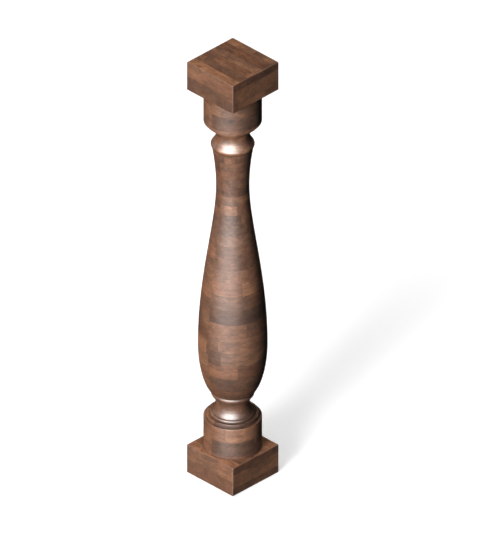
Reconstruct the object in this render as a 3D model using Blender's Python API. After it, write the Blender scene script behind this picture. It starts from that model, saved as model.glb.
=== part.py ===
"""Turned wooden baluster.

A low square block at each end, and one turned length between them. Going up from the
lower block the turning is a drum, a step, a quarter round, a hollow neck and a small
bead. Then comes the vase shaft, which swells low down and narrows to a throat near its
top. The same mouldings follow in reverse order up to the upper block.
Sizes are in metres, +Z is up, and the origin is the middle of the underside.
"""
import math

import bmesh
import bpy

# Square end blocks, whose arrises are eased by hand
BLOCK_SIDE = 0.100
BLOCK_HEIGHT = 0.050
BLOCK_EASE = 0.001

# Drum, set in from the faces of the block
DRUM_INSET = 0.005
DRUM_HEIGHT = 0.0545

# Step on the end of the drum
STEP_DIAMETER = 0.0805
STEP_HEIGHT = 0.0055

# Quarter round on the step
ROUND_DIAMETER = 0.0695
ROUND_HEIGHT = 0.0036

# Hollow neck and small bead. The quarter round, the neck, the bead and the vase all meet
# each other at the edge diameter
EDGE_DIAMETER = 0.0644
HOLLOW_HEIGHT = 0.0300
NECK_DIAMETER = 0.0524
BEAD_HEIGHT = 0.0074
BEAD_DIAMETER = 0.0674

# Vase shaft
VASE_HEIGHT = 0.443
BELLY_DIAMETER = 0.107
BELLY_ABOVE_FOOT = 0.085
THROAT_DIAMETER = 0.0512
THROAT_BELOW_TOP = 0.0723

# Shape of the vase: 0.5 makes the foot a quarter ellipse, and each pull is the share of
# the way from belly to throat over which the shaft keeps the width it starts from
FOOT_FULLNESS = 0.63
BELLY_PULL = 0.43
THROAT_PULL = 0.245

# Facets: four times an odd number around, so that a corner faces each side, and the steps
# along each curve
AROUND = 52
ROUND_STEPS = 3
HOLLOW_STEPS = 10
BEAD_STEPS = 4
FOOT_STEPS = 9
SHAFT_STEPS = 18
FLARE_STEPS = 6
SHARP_ANGLE = math.radians(30)

WALNUT_BROWN = (0.20, 0.095, 0.055, 1.0)
LACQUER_ROUGHNESS = 0.35


def clear_scene():
    """Remove every object that is in the scene."""
    for old in list(bpy.data.objects):
        bpy.data.objects.remove(old, do_unlink=True)


def walnut():
    """Lacquered brown hardwood."""
    material = bpy.data.materials.new("walnut")
    material.use_nodes = True
    shader = material.node_tree.nodes["Principled BSDF"]
    shader.inputs["Base Color"].default_value = WALNUT_BROWN
    shader.inputs["Roughness"].default_value = LACQUER_ROUGHNESS
    shader.inputs["Metallic"].default_value = 0.0
    return material


def shares(steps):
    """The shares 1/steps, 2/steps and so on up to 1."""
    return [step / steps for step in range(1, steps + 1)]


def quarter_round(foot):
    """Points of the convex quarter ellipse that leaves the vertical at its foot."""
    outer = ROUND_DIAMETER / 2
    inner = EDGE_DIAMETER / 2
    points = [(outer, foot)]
    for share in shares(ROUND_STEPS):
        turn = share * math.pi / 2
        radius = inner + (outer - inner) * math.cos(turn)
        points.append((radius, foot + ROUND_HEIGHT * math.sin(turn)))
    return points


def bow(middle_diameter, foot, height, steps):
    """Points of a bow from edge to edge, hollow or proud by what its middle diameter says."""
    edge = EDGE_DIAMETER / 2
    rise = middle_diameter / 2 - edge
    points = []
    for share in shares(steps):
        from_middle = 2 * share - 1
        points.append((edge + rise * (1 - from_middle ** 2), foot + height * share))
    return points


def end_mouldings():
    """Radius and height of each point from the block's inner face to the vase."""
    drum_radius = BLOCK_SIDE / 2 - DRUM_INSET
    drum_end = BLOCK_HEIGHT + DRUM_HEIGHT
    step_end = drum_end + STEP_HEIGHT
    round_end = step_end + ROUND_HEIGHT
    hollow_end = round_end + HOLLOW_HEIGHT
    points = [
        (drum_radius, BLOCK_HEIGHT),
        (drum_radius, drum_end),
        (STEP_DIAMETER / 2, drum_end),
        (STEP_DIAMETER / 2, step_end),
    ]
    points += quarter_round(step_end)
    points += bow(NECK_DIAMETER, round_end, HOLLOW_HEIGHT, HOLLOW_STEPS)
    points += bow(BEAD_DIAMETER, hollow_end, BEAD_HEIGHT, BEAD_STEPS)
    return points


def vase(foot):
    """Points of the vase shaft above its foot, leaving out the two ends."""
    end_radius = EDGE_DIAMETER / 2
    belly_radius = BELLY_DIAMETER / 2
    throat_radius = THROAT_DIAMETER / 2
    belly = foot + BELLY_ABOVE_FOOT
    top = foot + VASE_HEIGHT
    throat = top - THROAT_BELOW_TOP
    points = []
    for share in shares(FOOT_STEPS):
        turn = share * math.pi / 2
        swell = math.sin(turn) ** (2 * FOOT_FULLNESS)
        height = belly - BELLY_ABOVE_FOOT * math.cos(turn)
        points.append((end_radius + (belly_radius - end_radius) * swell, height))
    for share in shares(SHAFT_STEPS):
        left = 1 - share
        ease = share ** 2 * (3 - 2 * share)
        rise = 3 * left ** 2 * share * BELLY_PULL
        rise += 3 * left * share ** 2 * (1 - THROAT_PULL) + share ** 3
        radius = belly_radius + (throat_radius - belly_radius) * ease
        points.append((radius, belly + (throat - belly) * rise))
    for share in shares(FLARE_STEPS)[:-1]:
        radius = throat_radius + (end_radius - throat_radius) * share ** 2
        points.append((radius, throat + THROAT_BELOW_TOP * share))
    return points


def turned_profile():
    """Radius and height of every turned point, from the lower block to the upper one."""
    lower = end_mouldings()
    vase_foot = lower[-1][1]
    total = 2 * vase_foot + VASE_HEIGHT
    upper = [(radius, total - height) for radius, height in reversed(lower)]
    return lower + vase(vase_foot) + upper


def circle_row(radius, height):
    """One ring of corners, a quarter of them facing each side of the block."""
    row = []
    for corner in range(AROUND):
        turn = (corner + 0.5) * 2 * math.pi / AROUND - math.pi / 4
        row.append((radius * math.cos(turn), radius * math.sin(turn), height))
    return row


def square_row(half_side, height):
    """The same number of corners on a square whose own corners are cut by the ease."""
    per_side = AROUND // 4
    reach = half_side - BLOCK_EASE
    row = []
    for side in range(4):
        cos_side = round(math.cos(side * math.pi / 2))
        sin_side = round(math.sin(side * math.pi / 2))
        for corner in range(per_side):
            along = reach * (2 * corner / (per_side - 1) - 1)
            x = half_side * cos_side - along * sin_side
            y = half_side * sin_side + along * cos_side
            row.append((x, y, height))
    return row


def block_rows(underside, top):
    """Rows up a square block with its edges eased."""
    half_side = BLOCK_SIDE / 2
    return [
        square_row(half_side - BLOCK_EASE, underside),
        square_row(half_side, underside + BLOCK_EASE),
        square_row(half_side, top - BLOCK_EASE),
        square_row(half_side - BLOCK_EASE, top),
    ]


def make_baluster():
    """Skin the rows of the two blocks and of the turning as one closed body."""
    profile = turned_profile()
    turning_top = profile[-1][1]
    rows = block_rows(0.0, BLOCK_HEIGHT)
    rows += [circle_row(radius, height) for radius, height in profile]
    rows += block_rows(turning_top, turning_top + BLOCK_HEIGHT)

    shape = bmesh.new()
    rings = [[shape.verts.new(point) for point in row] for row in rows]
    for below, above in zip(rings, rings[1:]):
        for corner in range(AROUND):
            after = (corner + 1) % AROUND
            shape.faces.new((below[corner], below[after], above[after], above[corner]))
    shape.faces.new(list(reversed(rings[0])))
    shape.faces.new(rings[-1])

    mesh = bpy.data.meshes.new("baluster")
    shape.to_mesh(mesh)
    shape.free()
    mesh.shade_smooth()
    mesh.set_sharp_from_angle(angle=SHARP_ANGLE)
    mesh.materials.append(walnut())
    baluster = bpy.data.objects.new("baluster", mesh)
    bpy.context.scene.collection.objects.link(baluster)
    return baluster


def main():
    """Build the baluster in an empty scene."""
    clear_scene()
    make_baluster()


main()
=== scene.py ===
"""The looks of one turned wooden baluster, laid out as a Blender add-on and run as a script.

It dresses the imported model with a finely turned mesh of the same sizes, glued up from
strips of brown hardwood under a lacquer, and stands it on a plain pale floor.
"""
import math
from collections import namedtuple

import bpy
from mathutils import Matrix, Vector


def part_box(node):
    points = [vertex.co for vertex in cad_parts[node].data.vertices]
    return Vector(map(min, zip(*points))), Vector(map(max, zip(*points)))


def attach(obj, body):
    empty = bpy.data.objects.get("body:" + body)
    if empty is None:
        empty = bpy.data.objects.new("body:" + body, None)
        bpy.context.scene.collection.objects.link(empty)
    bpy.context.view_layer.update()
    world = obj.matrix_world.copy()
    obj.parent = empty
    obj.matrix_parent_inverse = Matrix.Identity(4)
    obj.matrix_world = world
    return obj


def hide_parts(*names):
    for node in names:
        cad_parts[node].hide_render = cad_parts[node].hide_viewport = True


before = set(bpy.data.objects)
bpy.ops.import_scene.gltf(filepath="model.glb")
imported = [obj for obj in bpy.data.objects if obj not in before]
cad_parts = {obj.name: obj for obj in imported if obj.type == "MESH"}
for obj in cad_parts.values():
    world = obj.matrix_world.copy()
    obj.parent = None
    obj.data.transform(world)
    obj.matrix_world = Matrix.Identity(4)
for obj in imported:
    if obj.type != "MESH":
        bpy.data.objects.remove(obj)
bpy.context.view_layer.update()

bl_info = {
    "name": "Turned wooden baluster",
    "version": (1, 0, 0),
    "blender": (4, 5, 0),
    "location": "View3D > Sidebar > Baluster",
    "description": "Dresses the baluster's solid with turned, glued-up and lacquered wood",
    "category": "Object",
}

PACKED_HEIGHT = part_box("baluster")[1][2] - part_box("baluster")[0][2]
TAU = 2 * math.pi
MM = 0.001

# Facets round the baluster, a quarter of them to each side, round each upright corner of a
# block, and across each eased edge
AROUND = 156
PER_SIDE = AROUND // 4
CORNER_FACETS = 5
EASE_FACETS = 4

# Distance between rings along the shaft's foot and top, its long middle, the bow-shaped neck
# and bead, the quarter round, a drum's wall, and the level ledges and the step's wall
CURVE_STEP = 1.6 * MM
SHAFT_STEP = 2.4 * MM
BOW_STEP = 0.8 * MM
ROUND_STEP = 1.6 * MM / 3
DRUM_STEP = 2 * MM
LEDGE_STEP = MM

# A quarter curve is taken to be this many times as long as it is high
QUARTER_CURVE = 1.3

# The turning starts as a ledge this wide on the block
LEDGE = 2 * MM

# Rings on the blocks' level faces, in from the arris: on the outer faces and round the drums
OUTER_INSETS = (30 * MM, 12 * MM, 4 * MM, 1.5 * MM)
INNER_INSETS = (1.5 * MM,)

# Rings on a block's sides, in from its arrises, and the least radius of a ring's corners
SIDE_INSETS = (1.5 * MM, 4 * MM)
LEAST_CORNER = 0.3 * MM

# Faces that meet at more than this angle have a sharp edge between them
SHARP_ANGLE = math.radians(40)

# How far from an inner corner finish gathers and painted shade darkens the wood, and how far from a proud
# edge it rubs thin and a painted highlight lightens it
GATHER_AND_SHADE_REACH = 1.6 * MM
RUB_AND_HIGHLIGHT_REACH = 0.8 * MM
ARRIS_REACH = MM

# The floor lies this far under the blocks, so that no two faces share a plane
FLOOR_GAP = 0.1 * MM

# The turned strips are laid out on a cylinder of this radius
LAYOUT_RADIUS = 0.045


class BalusterSizes(bpy.types.PropertyGroup):
    """Sizes of the blocks and of the turning."""

    block_side: bpy.props.FloatProperty(
        name="Block side", description="Width of the square end blocks",
        default=0.100, subtype="DISTANCE", unit="LENGTH")
    block_height: bpy.props.FloatProperty(
        name="Block height", description="Height of each end block",
        default=0.050, subtype="DISTANCE", unit="LENGTH")
    arris: bpy.props.FloatProperty(
        name="Arris", description="Radius that eases the level edges of the blocks",
        default=0.001, subtype="DISTANCE", unit="LENGTH")
    corner: bpy.props.FloatProperty(
        name="Corner", description="Radius that eases the upright corners of the blocks",
        default=0.0014, subtype="DISTANCE", unit="LENGTH")
    drum_inset: bpy.props.FloatProperty(
        name="Drum inset", description="How far the drum stands in from the block's faces",
        default=0.005, subtype="DISTANCE", unit="LENGTH")
    drum_height: bpy.props.FloatProperty(
        name="Drum height", description="Height of each drum",
        default=0.0545, subtype="DISTANCE", unit="LENGTH")
    step_diameter: bpy.props.FloatProperty(
        name="Step diameter", description="Diameter of the step on the drum",
        default=0.0805, subtype="DISTANCE", unit="LENGTH")
    step_height: bpy.props.FloatProperty(
        name="Step height", description="Height of the step",
        default=0.0055, subtype="DISTANCE", unit="LENGTH")
    round_diameter: bpy.props.FloatProperty(
        name="Quarter round diameter", description="Diameter at the foot of the quarter round",
        default=0.0695, subtype="DISTANCE", unit="LENGTH")
    round_height: bpy.props.FloatProperty(
        name="Quarter round height", description="Height of the quarter round",
        default=0.0036, subtype="DISTANCE", unit="LENGTH")
    edge_diameter: bpy.props.FloatProperty(
        name="Edge diameter", description="Diameter where quarter round, neck, bead and vase meet",
        default=0.0644, subtype="DISTANCE", unit="LENGTH")
    hollow_height: bpy.props.FloatProperty(
        name="Hollow height", description="Height of the hollow neck",
        default=0.030, subtype="DISTANCE", unit="LENGTH")
    neck_diameter: bpy.props.FloatProperty(
        name="Neck diameter", description="Diameter of the hollow neck at its middle",
        default=0.0524, subtype="DISTANCE", unit="LENGTH")
    bead_height: bpy.props.FloatProperty(
        name="Bead height", description="Height of the small bead",
        default=0.0074, subtype="DISTANCE", unit="LENGTH")
    bead_diameter: bpy.props.FloatProperty(
        name="Bead diameter", description="Diameter of the small bead at its middle",
        default=0.0674, subtype="DISTANCE", unit="LENGTH")
    belly_diameter: bpy.props.FloatProperty(
        name="Belly diameter", description="Widest diameter of the vase shaft",
        default=0.107, subtype="DISTANCE", unit="LENGTH")
    belly_above_foot: bpy.props.FloatProperty(
        name="Belly height", description="Height of the belly above the foot of the vase",
        default=0.085, subtype="DISTANCE", unit="LENGTH")
    throat_diameter: bpy.props.FloatProperty(
        name="Throat diameter", description="Narrowest diameter of the vase shaft",
        default=0.0512, subtype="DISTANCE", unit="LENGTH")
    throat_below_top: bpy.props.FloatProperty(
        name="Throat depth", description="Depth of the throat below the top of the vase",
        default=0.0723, subtype="DISTANCE", unit="LENGTH")
    foot_fullness: bpy.props.FloatProperty(
        name="Foot fullness", description="0.5 makes the foot of the vase a quarter ellipse",
        default=0.63)
    belly_pull: bpy.props.FloatProperty(
        name="Belly pull", description="Share of the shaft that keeps the belly's width",
        default=0.43, subtype="FACTOR")
    throat_pull: bpy.props.FloatProperty(
        name="Throat pull", description="Share of the shaft that keeps the throat's width",
        default=0.245, subtype="FACTOR")
    tool_mark: bpy.props.FloatProperty(
        name="Edge softness", description="How far sanding has softened each turned edge",
        default=0.0005, subtype="DISTANCE", unit="LENGTH")


class StripLayout(bpy.types.PropertyGroup):
    """Sizes of the strips that the wood is glued up from, and the colours of the wood."""

    course: bpy.props.FloatProperty(
        name="Course", description="Height of a course of strips on blocks, drums and belly",
        default=0.0248, subtype="DISTANCE", unit="LENGTH")
    thin_course: bpy.props.FloatProperty(
        name="Thin course", description="Height of a course of strips at the throat",
        default=0.0158, subtype="DISTANCE", unit="LENGTH")
    thinning_starts: bpy.props.FloatProperty(
        name="Thinning starts", description="How far above the belly the courses start to thin",
        default=0.050, subtype="DISTANCE", unit="LENGTH")
    drum_first: bpy.props.FloatProperty(
        name="First course", description="Height of the cut course at the foot of each drum",
        default=0.0055, subtype="DISTANCE", unit="LENGTH")
    half_shift: bpy.props.FloatProperty(
        name="Half shift", description="How far, in courses, one half's courses stand above the other's",
        default=0.42)
    top_strip: bpy.props.FloatProperty(
        name="Top strip", description="Width of the strips on the level faces of the blocks",
        default=0.0167, subtype="DISTANCE", unit="LENGTH")
    length: bpy.props.FloatProperty(
        name="Strip length", description="Usual length of a strip between its butt joints",
        default=0.085, subtype="DISTANCE", unit="LENGTH")
    joint: bpy.props.FloatProperty(
        name="Joint", description="Width of a glue joint",
        default=0.0005, subtype="DISTANCE", unit="LENGTH")
    seed: bpy.props.IntProperty(
        name="Seed", description="Another number deals the tones of the strips out anew",
        default=5896, min=0)
    umber: bpy.props.FloatVectorProperty(
        name="Umber", description="The darkest strips",
        default=(0.106, 0.048, 0.026), subtype="COLOR", size=3, min=0.0, max=1.0)
    russet: bpy.props.FloatVectorProperty(
        name="Russet", description="Reddish strips",
        default=(0.192, 0.080, 0.039), subtype="COLOR", size=3, min=0.0, max=1.0)
    walnut: bpy.props.FloatVectorProperty(
        name="Walnut", description="Middling brown strips",
        default=(0.232, 0.102, 0.052), subtype="COLOR", size=3, min=0.0, max=1.0)
    ash_brown: bpy.props.FloatVectorProperty(
        name="Ash brown", description="Greyish strips",
        default=(0.136, 0.065, 0.037), subtype="COLOR", size=3, min=0.0, max=1.0)
    tan: bpy.props.FloatVectorProperty(
        name="Tan", description="The palest strips",
        default=(0.325, 0.145, 0.071), subtype="COLOR", size=3, min=0.0, max=1.0)
    gloss: bpy.props.FloatProperty(
        name="Roughness", description="Mean roughness of the lacquered wood",
        default=0.45, subtype="FACTOR", min=0.0, max=1.0)
    lacquer: bpy.props.FloatProperty(
        name="Lacquer", description="Weight of the clear lacquer over the wood",
        default=0.85, subtype="FACTOR", min=0.0, max=1.0)


class StudioSetup(bpy.types.PropertyGroup):
    """The floor, the lamps and the camera."""

    floor_size: bpy.props.FloatProperty(
        name="Floor", description="Side of the square floor",
        default=12.0, subtype="DISTANCE", unit="LENGTH")
    floor_colour: bpy.props.FloatVectorProperty(
        name="Floor colour", description="Colour of the pale floor",
        default=(0.80, 0.80, 0.80), subtype="COLOR", size=3, min=0.0, max=1.0)
    floor_glow: bpy.props.FloatProperty(
        name="Floor glow", description="Even light of the floor itself, which keeps shadows pale",
        default=0.42)
    key_strength: bpy.props.FloatProperty(
        name="Key light", description="Strength of the soft light from the front left",
        default=2.85)
    sheen_strength: bpy.props.FloatProperty(
        name="Sheen lights", description="Strength of the two lights that only shine on the lacquer",
        default=8.2)
    wide_sheen_strength: bpy.props.FloatProperty(
        name="Wide sheen light", description="Strength of the wide light that only shines on the lacquer",
        default=5.2)
    high_strength: bpy.props.FloatProperty(
        name="High light", description="Strength of the soft light from high in front",
        default=0.85)
    low_strength: bpy.props.FloatProperty(
        name="Low light", description="Strength of the soft light from low in front",
        default=1.1)
    side_strength: bpy.props.FloatProperty(
        name="Side light", description="Strength of the soft light from the rear left",
        default=0.8)
    back_strength: bpy.props.FloatProperty(
        name="Back light", description="Strength of the soft light from behind",
        default=1.7)
    azimuth: bpy.props.FloatProperty(
        name="Azimuth", description="Angle of the camera round the baluster from the front",
        default=math.radians(45), subtype="ANGLE", unit="ROTATION")
    elevation: bpy.props.FloatProperty(
        name="Elevation", description="Angle of the camera above level",
        default=math.radians(32.45), subtype="ANGLE", unit="ROTATION")
    frame_height: bpy.props.FloatProperty(
        name="Frame height", description="Height that the picture takes in",
        default=0.819, subtype="DISTANCE", unit="LENGTH")
    aim_right: bpy.props.FloatProperty(
        name="Aim right", description="How far the camera aims to the right of the axis",
        default=0.0119, subtype="DISTANCE", unit="LENGTH")


def smooth_step(share):
    """Eases from 0 to 1 with level ends."""
    return share * share * (3 - 2 * share)


def straight(start, end, step):
    """Points from start to end, both given, about a step apart."""
    length = math.dist(start, end)
    pieces = max(1, round(length / step))
    return [tuple(a + (b - a) * n / pieces for a, b in zip(start, end)) for n in range(pieces + 1)]


def curve(function, length, step):
    """Points of a curve that a function gives for shares from 0 to 1."""
    pieces = max(2, round(length / step))
    return [function(n / pieces) for n in range(pieces + 1)]


def bow(s, middle_diameter, foot, height):
    """A bow from edge to edge, hollow or proud by what its middle diameter says."""
    edge = s.edge_diameter / 2
    rise = middle_diameter / 2 - edge

    def point(share):
        from_middle = 2 * share - 1
        return (edge + rise * (1 - from_middle ** 2), foot + height * share)

    return curve(point, height, BOW_STEP)


def quarter_round(s, foot):
    """The convex quarter ellipse on the step."""
    outer = s.round_diameter / 2
    inner = s.edge_diameter / 2

    def point(share):
        turn = share * math.pi / 2
        return (inner + (outer - inner) * math.cos(turn), foot + s.round_height * math.sin(turn))

    return curve(point, s.round_height, ROUND_STEP)


def vase_foot(s):
    """Height where the vase starts."""
    return s.block_height + s.drum_height + s.step_height + s.round_height + s.hollow_height + s.bead_height


def end_runs(s):
    """Smooth stretches of one end, from the block's inner face to the vase."""
    drum = s.block_side / 2 - s.drum_inset
    step = s.step_diameter / 2
    drum_end = s.block_height + s.drum_height
    step_end = drum_end + s.step_height
    round_end = step_end + s.round_height
    hollow_end = round_end + s.hollow_height
    hollow = bow(s, s.neck_diameter, round_end, s.hollow_height)
    bead = bow(s, s.bead_diameter, hollow_end, s.bead_height)
    return [
        straight((drum + LEDGE, s.block_height), (drum, s.block_height), LEDGE_STEP),
        straight((drum, s.block_height), (drum, drum_end), DRUM_STEP),
        straight((drum, drum_end), (step, drum_end), LEDGE_STEP),
        straight((step, drum_end), (step, step_end), LEDGE_STEP),
        straight((step, step_end), (s.round_diameter / 2, step_end), LEDGE_STEP),
        quarter_round(s, step_end),
        hollow + bead[1:],
    ]


def vase_run(s):
    """The vase shaft, from its foot to its top."""
    foot = vase_foot(s)
    end = s.edge_diameter / 2
    belly_radius = s.belly_diameter / 2
    throat_radius = s.throat_diameter / 2
    top = PACKED_HEIGHT - foot
    belly = foot + s.belly_above_foot
    throat = top - s.throat_below_top

    def swelling(share):
        turn = share * math.pi / 2
        swell = math.sin(turn) ** (2 * s.foot_fullness)
        return (end + (belly_radius - end) * swell, belly - s.belly_above_foot * math.cos(turn))

    def narrowing(share):
        left = 1 - share
        rise = 3 * left ** 2 * share * s.belly_pull
        rise += 3 * left * share ** 2 * (1 - s.throat_pull) + share ** 3
        radius = belly_radius + (throat_radius - belly_radius) * smooth_step(share)
        return (radius, belly + (throat - belly) * rise)

    def flare(share):
        radius = throat_radius + (end - throat_radius) * share ** 2
        return (radius, throat + s.throat_below_top * share)

    points = curve(swelling, s.belly_above_foot * QUARTER_CURVE, CURVE_STEP)
    points += curve(narrowing, throat - belly, SHAFT_STEP)[1:]
    points += curve(flare, s.throat_below_top, CURVE_STEP)[1:]
    return points


def cut_back(points, length):
    """The points with a length taken off their end, or nearly all where they are shorter."""
    nearly_all = 0.9
    points = list(points)
    while len(points) > 2 and math.dist(points[-2], points[-1]) <= length:
        length -= math.dist(points[-2], points[-1])
        points.pop()
    last, before = points[-1], points[-2]
    share = min(nearly_all, length / math.dist(before, last))
    points[-1] = tuple(b + (a - b) * share for a, b in zip(before, last))
    return points


def soften(runs, softness):
    """Join runs end to end, each corner rounded over the softness on either side."""
    points = []
    for number, run in enumerate(runs):
        piece = run
        if number:
            piece = cut_back(piece[::-1], softness)[::-1]
        if number < len(runs) - 1:
            piece = cut_back(piece, softness)
        if points:
            start, corner, end = points[-1], run[0], piece[0]
            for facet in range(1, EASE_FACETS):
                t = facet / EASE_FACETS
                points.append(tuple(
                    (1 - t) ** 2 * a + 2 * t * (1 - t) * b + t * t * c
                    for a, b, c in zip(start, corner, end)))
        points += piece
    return points


def turned_profile(s):
    """Points all the way up the turning, its inner corners and its proud ones."""
    lower = end_runs(s)
    upper = [[(r, PACKED_HEIGHT - z) for r, z in reversed(run)] for run in reversed(lower)]
    profile = soften(lower + [vase_run(s)] + upper, s.tool_mark)
    hollow_corners = [lower[n][0] for n in (1, 3, 5, 6)] + [lower[-1][-1]]
    proud_corners = [lower[n][0] for n in (2, 4)]
    mirrored = [[(r, PACKED_HEIGHT - z) for r, z in kind] for kind in (hollow_corners, proud_corners)]
    return profile, hollow_corners + mirrored[0], proud_corners + mirrored[1]


def nearness(point, corners, reach):
    """1 at a corner of the profile, falling towards 0 over a few times the reach."""
    return math.exp(-min(math.dist(point, corner) for corner in corners) / reach)


class Row:
    """One ring of points, with what the wood's finish needs to know there."""

    def __init__(self, points, zone, courses=0.0, pitch=1.0, gather=0.0, rub=0.0, bare=0.0):
        self.points = points
        self.zone = zone
        self.courses = courses      # courses of strips up to here from the belly
        self.pitch = pitch          # height of the course here
        self.gather = gather        # how near an inner corner is, where finish gathers and painted shade darkens the wood
        self.rub = rub              # how near a proud edge is, where finish rubs thin and a painted highlight lightens the wood
        self.bare = bare            # 1 on the level faces of the blocks, which are only oiled


def circle(radius, height):
    """A ring whose first corner starts the quarter that faces +X."""
    ring = []
    for corner in range(AROUND):
        turn = (corner + 0.5) * TAU / AROUND - math.pi / 4
        ring.append((radius * math.cos(turn), radius * math.sin(turn), height))
    return ring


def rounded_square(half, radius, height):
    """A square ring of the same corners, with rounded corners of a radius."""
    corner_half = CORNER_FACETS // 2
    flat_points = PER_SIDE - 2 * corner_half
    reach = half - radius
    ring = []
    for side in range(4):
        cos_side = round(math.cos(side * math.pi / 2))
        sin_side = round(math.sin(side * math.pi / 2))
        local = []
        for n in range(corner_half, 0, -1):
            turn = -math.pi / 2 * n / CORNER_FACETS
            local.append((reach + radius * math.cos(turn), -reach + radius * math.sin(turn)))
        for n in range(flat_points):
            local.append((half, -reach + 2 * reach * n / (flat_points - 1)))
        for n in range(1, corner_half + 1):
            turn = math.pi / 2 * n / CORNER_FACETS
            local.append((reach + radius * math.cos(turn), reach + radius * math.sin(turn)))
        for out, along in local:
            ring.append((out * cos_side - along * sin_side, out * sin_side + along * cos_side, height))
    return ring


def block_rows(s, underside, end, face_up):
    """Rows up one block. Its outer face is the upper one if it faces up."""
    half = s.block_side / 2
    top = underside + s.block_height
    rows = []

    def level(height, insets, zone):
        corner = max(s.corner - s.arris, LEAST_CORNER)
        for inset in insets:
            ring = rounded_square(half - s.arris - inset, corner, height)
            rows.append(Row(ring, zone, rub=math.exp(-inset / ARRIS_REACH), bare=1.0))

    def arris(height, start):
        for n in range(EASE_FACETS + 1):
            turn = start + n / EASE_FACETS * math.pi / 2
            inset = s.arris * (1 - math.cos(turn))
            ring = rounded_square(half - inset, s.corner - inset, height + s.arris * math.sin(turn))
            # A painted highlight lightens the eased edges
            rows.append(Row(ring, end + " side", rub=1.0))

    level(underside, INNER_INSETS if face_up else OUTER_INSETS, end + " under")
    arris(underside + s.arris, -math.pi / 2)
    from_top = [s.block_height - inset for inset in reversed(SIDE_INSETS)]
    for above in (*SIDE_INSETS, s.block_height / 2, *from_top):
        nearest = min(above, s.block_height - above)
        ring = rounded_square(half, s.corner, underside + above)
        rows.append(Row(ring, end + " side", rub=math.exp(-nearest / ARRIS_REACH)))
    arris(top - s.arris, 0.0)
    level(top, reversed(OUTER_INSETS if face_up else INNER_INSETS), end + " over")
    return rows


def course_height(height, s, layout):
    """Height of a course on the turning: the belly's up to a point, then thinning to the throat's."""
    foot = vase_foot(s)
    throat = PACKED_HEIGHT - foot - s.throat_below_top
    thinning = foot + s.belly_above_foot + layout.thinning_starts
    share = min(1.0, max(0.0, (height - thinning) / (throat - thinning)))
    return layout.course + (layout.thin_course - layout.course) * smooth_step(share)


def turned_rows(s, layout):
    """Rows of the turning with the courses of strips that cross them."""
    profile, inner, outer = turned_profile(s)
    belly = vase_foot(s) + s.belly_above_foot
    drum_end = s.block_height + s.drum_height
    rows = []
    # The ledges at its two ends belong to the level faces of the blocks
    level_zones = {profile[0][1]: "lower over", profile[-1][1]: "upper under"}
    courses = -belly / layout.course
    last = 0.0
    for radius, height in profile:
        pitch = course_height(height, s, layout)
        courses += (height - last) / pitch
        last = height
        zone = "middle"
        if height in level_zones:
            zone = level_zones[height]
        elif height < drum_end:
            zone = "lower drum"
        elif height > PACKED_HEIGHT - drum_end:
            zone = "upper drum"
        # Nearness to inner corners carries painted shade, and nearness to proud edges a painted highlight
        rows.append(Row(
            circle(radius, height), zone, courses + 0.5, pitch,
            gather=nearness((radius, height), inner, GATHER_AND_SHADE_REACH),
            rub=nearness((radius, height), outer, RUB_AND_HIGHLIGHT_REACH),
            bare=float(height in level_zones)))
    return rows


# Each zone's number starts its own run of chance for the tones of its strips. A half of the
# turning adds 1 and a side of a block adds its own number.
ZONES = {"lower under": 10, "lower side": 20, "lower over": 30, "lower drum": 40, "middle": 50,
         "upper drum": 60, "upper under": 70, "upper side": 80, "upper over": 90}

# The strips start this share of a length further along from one side of a block to the next
FACE_SHIFT = 0.37

# Distance to the turning's glue joint that is given on the blocks, which don't have it
NO_SEAM = 1.0


def turned_place(point, zone, half, step, row, s, layout):
    """Where a corner of a turned face lies: run, course and zone; grain; true sizes.

    Steps are facets round the turning from the glue joint between its two halves at -Y.
    """
    x, y, z = point
    half_way = AROUND // 2
    radius = math.hypot(x, y)
    along = step / AROUND * TAU * LAYOUT_RADIUS
    from_seam = min(step % half_way, -step % half_way) / AROUND * TAU * radius
    courses, pitch = row.courses, row.pitch
    if zone != "middle":
        drum_foot = s.block_height
        if zone == "upper drum":
            drum_foot = PACKED_HEIGHT - s.block_height - s.drum_height
        pitch = layout.course
        courses = (z - drum_foot - layout.drum_first) / pitch
    courses += half * layout.half_shift
    return ((along / layout.length, courses, ZONES[zone] + half), (along, z, radius),
            (layout.length * radius / LAYOUT_RADIUS, pitch, from_seam))


def side_place(point, zone, side, s, layout):
    """The same for a corner on a side of a block, which has two courses."""
    x, y, z = point
    course = s.block_height / 2
    along = (x, y, -x, -y)[(side + 1) % 4]
    foot = 0 if zone.startswith("lower") else PACKED_HEIGHT - s.block_height
    courses = (z - foot) / course + (side + 1) % 2 / 2
    return ((along / layout.length + FACE_SHIFT * side, courses, ZONES[zone] + side),
            (along + side, z, side), (layout.length, course, NO_SEAM))


def level_place(point, zone, layout):
    """The same for a corner on a level face, whose strips run along X."""
    x, y, _ = point
    return ((x / layout.length + FACE_SHIFT, y / layout.top_strip, ZONES[zone]),
            point, (layout.length, layout.top_strip, NO_SEAM))


def zone_between(below, above):
    """The zone of the faces between two rows: a level face wins."""
    for row in (below, above):
        if row.zone.endswith(("over", "under")):
            return row.zone
    return below.zone


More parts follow.
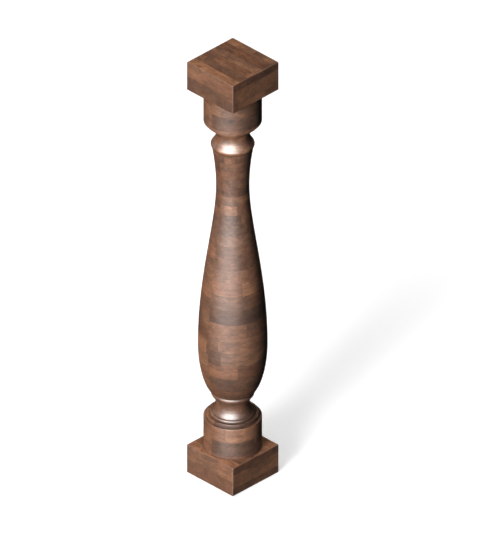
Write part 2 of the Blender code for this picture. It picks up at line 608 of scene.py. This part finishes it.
def build_mesh(s, layout):
    """The whole baluster as one closed mesh with its strip layout on every face corner."""
    rows = block_rows(s, 0.0, "lower", face_up=False)
    rows += turned_rows(s, layout)
    rows += block_rows(s, PACKED_HEIGHT - s.block_height, "upper", face_up=True)
    faces, places = [], []
    # The glue joint between the halves runs up the middle of the quarter that faces -Y
    seam = PER_SIDE * 3 + PER_SIDE // 2

    def add_face(corners, zone, column):
        """Corners are pairs of a row's number and its steps round from the glue joint."""
        half = column // (AROUND // 2)
        face = []
        for n, step in corners:
            corner = (step + seam) % AROUND
            face.append(n * AROUND + corner)
            row = rows[n]
            point = row.points[corner]
            if zone == "middle" or zone.endswith("drum"):
                places.append(turned_place(point, zone, half, step, row, s, layout))
            elif zone.endswith("side"):
                side = (column + seam) % AROUND // PER_SIDE
                places.append(side_place(point, zone, side, s, layout))
            else:
                places.append(level_place(point, zone, layout))
        faces.append(face)

    for n, (below, above) in enumerate(zip(rows, rows[1:])):
        zone = zone_between(below, above)
        for column in range(AROUND):
            after = column + 1
            add_face([(n, column), (n, after), (n + 1, after), (n + 1, column)], zone, column)
    last = len(rows) - 1
    add_face([(0, step) for step in reversed(range(AROUND))], rows[0].zone, 0)
    add_face([(last, step) for step in range(AROUND)], rows[last].zone, 0)

    mesh = bpy.data.meshes.new("turned_baluster")
    mesh.from_pydata([point for row in rows for point in row.points], [], faces)
    for index, name in enumerate(("strip", "grain", "lattice")):
        layer = mesh.attributes.new(name, "FLOAT_VECTOR", "CORNER")
        layer.data.foreach_set("vector", [number for place in places for number in place[index]])
    for name in ("gather", "rub", "bare"):
        layer = mesh.attributes.new(name, "FLOAT", "POINT")
        layer.data.foreach_set("value", [getattr(row, name) for row in rows for _ in range(AROUND)])
    mesh.shade_smooth()
    mesh.set_sharp_from_angle(angle=SHARP_ANGLE)
    return mesh


class Wire:
    """A value in a material. Arithmetic on it adds the nodes that work it out."""

    def __init__(self, recipe, socket):
        self.recipe = recipe
        self.socket = socket

    def maths(self, operation, *values):
        return self.recipe.add("ShaderNodeMath", {"operation": operation}, dict(enumerate(values)))

    def __add__(self, other):
        return self.maths("ADD", self, other)

    def __radd__(self, other):
        return self.maths("ADD", other, self)

    def __sub__(self, other):
        return self.maths("SUBTRACT", self, other)

    def __rsub__(self, other):
        return self.maths("SUBTRACT", other, self)

    def __mul__(self, other):
        return self.maths("MULTIPLY", self, other)

    def __rmul__(self, other):
        return self.maths("MULTIPLY", other, self)

    def __truediv__(self, other):
        return self.maths("DIVIDE", self, other)

    def floor(self):
        return self.maths("FLOOR", self)

    def fraction(self):
        return self.maths("FRACT", self)

    def absolute(self):
        return self.maths("ABSOLUTE", self)

    def least(self, other):
        return self.maths("MINIMUM", self, other)

    def between(self, low, high):
        """0 below low, 1 above high, eased between them."""
        return self.recipe.add(
            "ShaderNodeMapRange", {"interpolation_type": "SMOOTHSTEP"},
            {"Value": self, "From Min": low, "From Max": high})


class Recipe:
    """A material and the nodes that are added to it."""

    def __init__(self, name):
        self.material = bpy.data.materials.new(name)
        self.material.use_nodes = True
        self.tree = self.material.node_tree
        self.shader = self.tree.nodes["Principled BSDF"]

    def add(self, kind, settings=None, sockets=None, output=0):
        """A node of one kind: its settings first, then the values or links of its sockets.

        The output is one name or number, or a tuple of them for as many wires.
        """
        node = self.tree.nodes.new(kind)
        for name, value in (settings or {}).items():
            if name == "stops":
                self.set_stops(node.color_ramp, value)
            else:
                setattr(node, name, value)
        for name, value in (sockets or {}).items():
            self.feed(node.inputs[name], value)
        if isinstance(output, tuple):
            return [Wire(self, node.outputs[each]) for each in output]
        return Wire(self, node.outputs[output])

    def set_stops(self, ramp, stops):
        while len(ramp.elements) < len(stops):
            ramp.elements.new(0.5)
        for element, (position, colour) in zip(ramp.elements, stops):
            element.position = position
            element.color = (*colour, 1.0)

    def feed(self, socket, value):
        if isinstance(value, Wire):
            self.tree.links.new(value.socket, socket)
        else:
            socket.default_value = value

    def set(self, name, value):
        """Give one of the shader's own sockets a value or a link."""
        self.feed(self.shader.inputs[name], value)

    def attribute(self, name, output="Vector"):
        return self.add("ShaderNodeAttribute", {"attribute_name": name}, output=output)

    def parts(self, vector):
        return self.add("ShaderNodeSeparateXYZ", sockets={0: vector}, output=(0, 1, 2))

    def join(self, x, y, z):
        return self.add("ShaderNodeCombineXYZ", sockets={0: x, 1: y, 2: z})

    def vector(self, operation, *values):
        return self.add("ShaderNodeVectorMath", {"operation": operation}, dict(enumerate(values)))

    def scaled(self, vector, scale):
        return self.add("ShaderNodeVectorMath", {"operation": "SCALE"}, {0: vector, "Scale": scale})

    def chance(self, key):
        """Three numbers from 0 to 1 that belong to a key."""
        colour = self.add("ShaderNodeTexWhiteNoise", {"noise_dimensions": "3D"}, {"Vector": key}, "Color")
        return self.parts(colour)

    def noise(self, grain, waves, detail, roughness=0.5, distortion=0.0):
        """Noise with so many waves to the metre along the grain and across it, about 0.5."""
        along, across = waves
        return self.add(
            "ShaderNodeTexNoise", {"noise_dimensions": "3D"},
            {"Vector": self.vector("MULTIPLY", grain, (along, across, across)), "Scale": 1.0,
             "Detail": detail, "Roughness": roughness, "Distortion": distortion})


# A row has at least this many strips to the usual length, and up to so many more by chance.
# The key keeps a row's own chance apart from that of its strips
LEAST_PIECES = 0.3
MORE_PIECES = 1.2
ROW_KEY = 3.1

# How far the grain jumps from strip to strip and how far it sways, in metres
GRAIN_JUMP = 5.0
GRAIN_SWAY = 0.012

# Waves to the metre along the grain and across it
WAVES = {"sway": (14, 30), "drift": (22, 26), "clouds": (38, 60), "figure": (95, 150),
         "bands": (12, 210), "threads": (45, 900), "flecks": (210, 520), "pores": (170, 2600),
         "knots": (24, 36)}

# Noise above these levels is a pore, and a knot fades out over these distances from its
# middle, where the drift is above these levels
PORE_LEVELS = (0.58, 0.68)
KNOT_EDGE = (0.04, 0.20)
KNOTTY_DRIFT = (-0.02, 0.08)

# How much the drift along a strip adds to its tone, the light of the dimmest strip and how
# much more the brightest has
TONE_DRIFT = 0.6
DIMMEST = 0.76
BRIGHTER = 0.46

# The lacquer's own roughness and how strongly it mirrors, and the weak gloss of the wood below
LACQUER_ROUGHNESS = 0.42
LACQUER_IOR = 1.7
WOOD_GLOSS = 0.1

# How deep the grain's relief goes and how much of it shows
RELIEF_DEPTH = 0.00012
RELIEF_SHOWN = 0.35


def strip_key(wood, layout):
    """Three chance values for the strip that a point lies in, and how near a glue joint is."""
    run, course, zone = wood.parts(wood.attribute("strip"))
    strip_length, course_height, from_seam = wood.parts(wood.attribute("lattice"))
    row = course.floor()
    zone = (zone + 0.5).floor() + layout.seed
    stagger, more, _ = wood.chance(wood.join(row, zone, ROW_KEY))
    pieces = LEAST_PIECES + MORE_PIECES * more * more
    place = run * pieces + stagger
    key = wood.chance(wood.join(place.floor(), row, zone))

    to_side = (0.5 - (course.fraction() - 0.5).absolute()) * course_height
    to_end = (0.5 - (place.fraction() - 0.5).absolute()) * strip_length / pieces
    joint = 1 - to_side.least(to_end).least(from_seam).between(0.0, layout.joint)
    return key, joint


def wood_grain(wood, key):
    """What varies within a strip, by name. The grain runs along it and starts anew in the next."""
    grain = wood.vector("ADD", wood.attribute("grain"), wood.scaled(wood.join(*key), GRAIN_JUMP))
    sway = (wood.noise(grain, WAVES["sway"], 2.0) - 0.5) * GRAIN_SWAY
    waved = wood.vector("ADD", grain, wood.join(0.0, sway, sway))
    marks = {
        "drift": wood.noise(grain, WAVES["drift"], 2.0) - 0.5,
        "clouds": wood.noise(grain, WAVES["clouds"], 2.0, distortion=0.4) - 0.5,
        "figure": wood.noise(grain, WAVES["figure"], 3.0, 0.55, distortion=0.6) - 0.5,
        "bands": wood.noise(waved, WAVES["bands"], 4.0, 0.6) - 0.5,
        "threads": wood.noise(waved, WAVES["threads"], 3.0, 0.6) - 0.5,
        "flecks": wood.noise(waved, WAVES["flecks"], 2.0, 0.6) - 0.5,
        "pores": wood.noise(waved, WAVES["pores"], 1.0).between(*PORE_LEVELS),
    }
    along, across = WAVES["knots"]
    from_knot = wood.add(
        "ShaderNodeTexVoronoi", {"feature": "F1", "voronoi_dimensions": "3D"},
        {"Vector": wood.vector("MULTIPLY", grain, (along, across, across)), "Scale": 1.0,
         "Randomness": 1.0}, output="Distance")
    marks["knot"] = (1 - from_knot.between(*KNOT_EDGE)) * marks["drift"].between(*KNOTTY_DRIFT)
    return marks


def strip_wood(layout):
    """Glued-up strips of brown hardwood under a clear lacquer."""
    wood = Recipe("strip_wood")
    key, joint = strip_key(wood, layout)
    marks = wood_grain(wood, key)
    marks["joint"] = joint
    for name in ("gather", "rub", "bare"):
        marks[name] = wood.attribute(name, "Fac")

    # Colour of the strip, which drifts a little along it
    tone, depth, _ = key
    species = wood.add(
        "ShaderNodeValToRGB",
        {"stops": [(0.0, layout.umber), (0.26, layout.russet), (0.50, layout.walnut),
                   (0.74, layout.ash_brown), (1.0, layout.tan)]},
        {"Fac": tone + TONE_DRIFT * marks["drift"]})
    light = DIMMEST + BRIGHTER * depth
    # Painted shade darkens the wood near inner corners, and a painted highlight lightens it along proud
    # edges
    for name, strength in (
            ("clouds", 1.1), ("figure", 0.9), ("bands", 0.6), ("threads", 1.1), ("flecks", 0.7),
            ("pores", -0.35), ("joint", -0.30), ("knot", -0.50), ("gather", -0.40), ("rub", 0.12)):
        light = light * (1 + strength * marks[name])
    wood.set("Base Color", wood.scaled(species, light))

    # The lacquer is duller where it gathers and in the pores, and fades when seen edge-on. The
    # level faces have none
    roughness = layout.gloss
    for name, strength in (
            ("figure", 0.15), ("pores", 0.12), ("gather", 0.35), ("rub", -0.05), ("bare", 0.3)):
        roughness = roughness + strength * marks[name]
    wood.set("Roughness", roughness)
    cover = (1 - 0.9 * marks["gather"]) * (1 - marks["bare"])
    cover = layout.lacquer * cover * (1 + 0.5 * marks["figure"] - 0.3 * marks["pores"])
    edge_on = wood.add("ShaderNodeLayerWeight", {}, {"Blend": 0.5}, output="Facing")
    wood.set("Coat Weight", cover * (1 - edge_on * edge_on))
    wood.set("Coat Roughness", LACQUER_ROUGHNESS)
    wood.set("Coat IOR", LACQUER_IOR)
    wood.set("Specular IOR Level", WOOD_GLOSS)

    # The surface sinks a little into pores and joints
    relief = 0.5 * marks["bands"] + 0.35 * marks["threads"] - 0.6 * marks["pores"] - 0.9 * marks["joint"]
    wood.set("Normal", wood.add(
        "ShaderNodeBump", {},
        {"Strength": RELIEF_SHOWN, "Distance": RELIEF_DEPTH, "Height": relief}))
    return wood.material


def pale_floor(studio):
    """Plain matt floor."""
    floor = Recipe("pale_floor")
    floor.set("Base Color", (*studio.floor_colour, 1.0))
    floor.set("Roughness", 0.9)
    floor.set("Specular IOR Level", 0.1)
    floor.set("Emission Color", (1.0, 1.0, 1.0, 1.0))
    floor.set("Emission Strength", studio.floor_glow)
    return floor.material


def link(name, data):
    """A new object in the scene."""
    made = bpy.data.objects.new(name, data)
    bpy.context.scene.collection.objects.link(made)
    return made


def toward(azimuth, elevation):
    """Unit vector from the baluster towards a lamp or the camera. Azimuth 0 is the front."""
    return Vector((
        math.sin(azimuth) * math.cos(elevation),
        -math.cos(azimuth) * math.cos(elevation),
        math.sin(elevation)))


# Far soft lamps. Azimuth counts from the camera's, and angles are in degrees. The strength
# names the setting that gives it. A lamp may light the wood's colour, its sheen or both
Lamp = namedtuple("Lamp", "name azimuth elevation spread strength colour sheen")
LAMPS = (
    Lamp("key_light", -29, 26, 18, "key_strength", True, False),
    Lamp("high_light", -24, 75, 30, "high_strength", True, False),
    Lamp("low_light", -32, -22, 40, "low_strength", True, False),
    Lamp("side_light", -125, 22, 30, "side_strength", True, True),
    Lamp("left_sheen_light", -34, 31, 50, "sheen_strength", False, True),
    Lamp("right_sheen_light", -8, 31, 50, "sheen_strength", False, True),
    Lamp("wide_sheen_light", -20, 18, 97, "wide_sheen_strength", False, True),
    Lamp("back_light", 168, 16, 20, "back_strength", True, False),
)

CAMERA_DISTANCE = 3.0
CAMERA_REACH = 50.0


class BALUSTER_OT_turning(bpy.types.Operator):
    """Build the turned baluster over its solid"""

    bl_idname = "baluster.turning"
    bl_label = "Turned baluster"

    def execute(self, context):
        s = context.scene.baluster_sizes
        layout = context.scene.strip_layout
        baluster = link("turned_baluster", build_mesh(s, layout))
        baluster.data.materials.append(strip_wood(layout))
        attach(baluster, "root")
        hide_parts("baluster")
        return {"FINISHED"}


class BALUSTER_OT_stage(bpy.types.Operator):
    """Lay the floor, hang the lamps and set the camera"""

    bl_idname = "baluster.stage"
    bl_label = "Floor, lamps and camera"

    def execute(self, context):
        studio = context.scene.studio_setup
        self.lay_floor(studio)
        for lamp in LAMPS:
            self.hang(lamp, studio)
        self.pale_room(context)
        self.camera(context, studio)
        context.scene.view_settings.view_transform = "Standard"
        return {"FINISHED"}

    def lay_floor(self, studio):
        half = studio.floor_size / 2
        mesh = bpy.data.meshes.new("floor")
        corners = [(-half, -half), (half, -half), (half, half), (-half, half)]
        mesh.from_pydata([(x, y, -FLOOR_GAP) for x, y in corners], [], [(0, 1, 2, 3)])
        mesh.materials.append(pale_floor(studio))
        floor = link("floor", mesh)
        floor.visible_diffuse = False
        floor.visible_glossy = False
        floor.visible_shadow = False

    def hang(self, lamp, studio):
        data = bpy.data.lights.new(lamp.name, "SUN")
        data.energy = getattr(studio, lamp.strength)
        data.angle = math.radians(lamp.spread)
        light = link(lamp.name, data)
        light.visible_diffuse = lamp.colour
        light.visible_glossy = lamp.sheen
        azimuth = studio.azimuth + math.radians(lamp.azimuth)
        aim = toward(azimuth, math.radians(lamp.elevation))
        light.rotation_euler = aim.to_track_quat("Z", "Y").to_euler()

    def pale_room(self, context):
        """A pale wall of light behind everything, which only the camera sees."""
        world = bpy.data.worlds.new("room")
        world.use_nodes = True
        background = world.node_tree.nodes["Background"]
        background.inputs["Color"].default_value = (1, 1, 1, 1)
        background.inputs["Strength"].default_value = 1.0
        context.scene.world = world
        for kind in ("diffuse", "glossy", "transmission", "scatter"):
            setattr(world.cycles_visibility, kind, False)

    def camera(self, context, studio):
        data = bpy.data.cameras.new("camera")
        data.type = "ORTHO"
        data.ortho_scale = studio.frame_height
        camera = link("camera", data)
        middle = Vector((0, 0, PACKED_HEIGHT / 2))
        back = toward(studio.azimuth, studio.elevation)
        right = Vector((math.cos(studio.azimuth), math.sin(studio.azimuth), 0))
        camera.location = middle + back * CAMERA_DISTANCE + right * studio.aim_right
        camera.rotation_euler = back.to_track_quat("Z", "Y").to_euler()
        data.clip_end = CAMERA_REACH
        context.scene.camera = camera


class BALUSTER_PT_sidebar(bpy.types.Panel):
    """The baluster's sizes, strips and stage"""

    bl_label = "Turned baluster"
    bl_idname = "BALUSTER_PT_sidebar"
    bl_space_type = "VIEW_3D"
    bl_region_type = "UI"
    bl_category = "Baluster"

    def draw(self, context):
        column = self.layout.column()
        for operator in OPERATORS:
            column.operator(operator.bl_idname)
        scene = context.scene
        for settings in (scene.baluster_sizes, scene.strip_layout, scene.studio_setup):
            box = column.box()
            for name in settings.__annotations__:
                box.prop(settings, name)


OPERATORS = (BALUSTER_OT_turning, BALUSTER_OT_stage)
CLASSES = (BalusterSizes, StripLayout, StudioSetup, *OPERATORS, BALUSTER_PT_sidebar)


def register():
    """Register the classes and hang their settings on the scene."""
    for cls in CLASSES:
        bpy.utils.register_class(cls)
    bpy.types.Scene.baluster_sizes = bpy.props.PointerProperty(type=BalusterSizes)
    bpy.types.Scene.strip_layout = bpy.props.PointerProperty(type=StripLayout)
    bpy.types.Scene.studio_setup = bpy.props.PointerProperty(type=StudioSetup)


def unregister():
    """Take back what register did."""
    del bpy.types.Scene.studio_setup
    del bpy.types.Scene.strip_layout
    del bpy.types.Scene.baluster_sizes
    for cls in reversed(CLASSES):
        bpy.utils.unregister_class(cls)


def main():
    """Make the baluster and its stage."""
    register()
    bpy.ops.baluster.turning()
    bpy.ops.baluster.stage()


if __name__ == "__main__":
    main()
